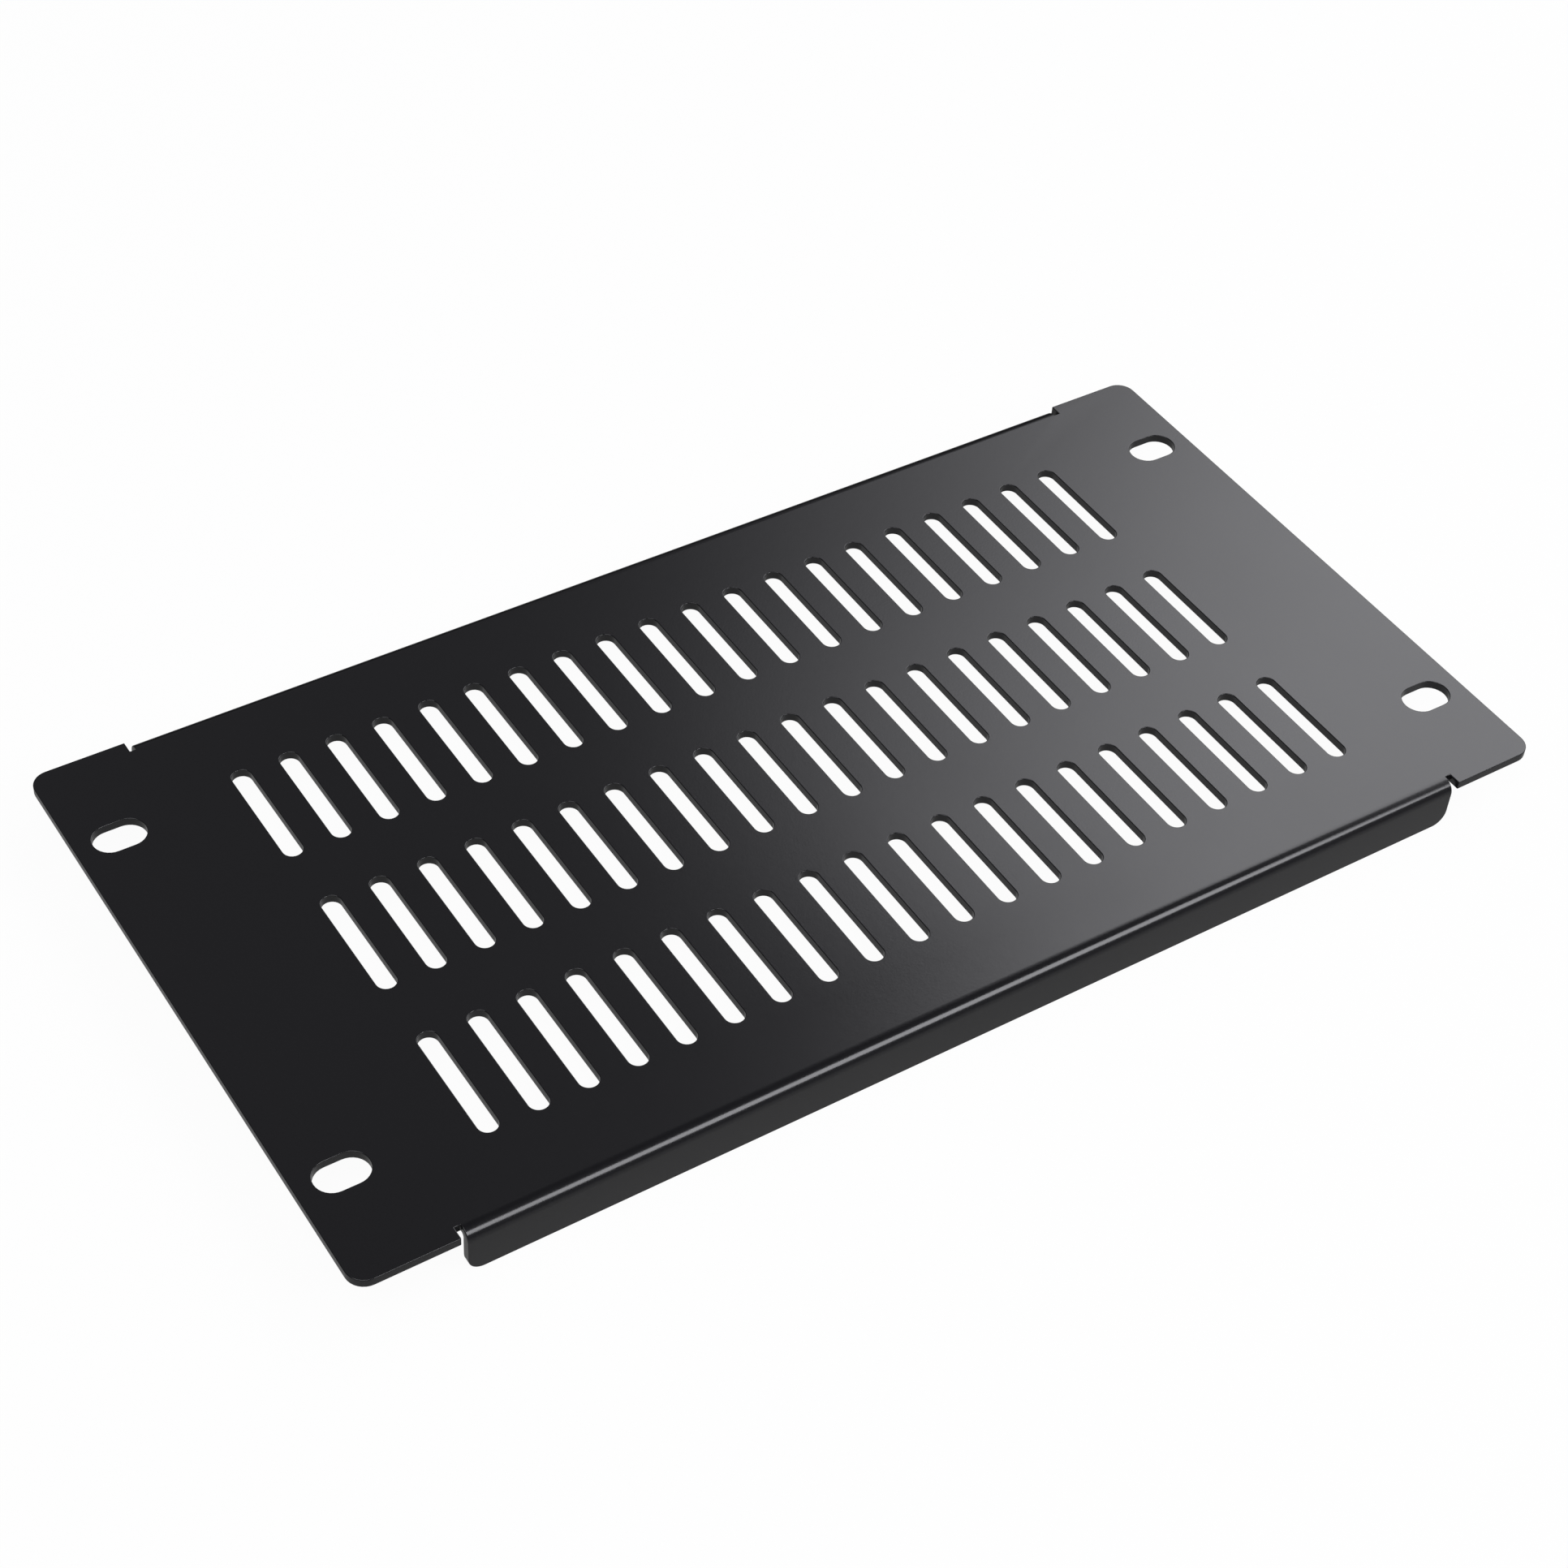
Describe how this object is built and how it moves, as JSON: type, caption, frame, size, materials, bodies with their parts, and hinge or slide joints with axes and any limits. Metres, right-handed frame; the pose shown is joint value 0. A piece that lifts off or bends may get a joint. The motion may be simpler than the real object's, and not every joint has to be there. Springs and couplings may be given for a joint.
{
  "type": "vented rack blanking panel",
  "caption": "Black coated sheet steel panel for a half-width rack, with rows of long vent slots, two folded long edges and a slotted ear at each end.",
  "frame": {"origin": "on the ground under the panel's middle, level with the free edges of the two folded flanges", "axes": "+X along the panel towards its right ear, +Y across it, upwards when mounted, +Z out of the front face"},
  "size_m": [0.254, 0.1324, 0.01],
  "materials": {
    "powder_coat": "fine satin black powder coat"
  },
  "bodies": {
    "root": {"panel": "powder_coat"}
  },
  "joints": []
}
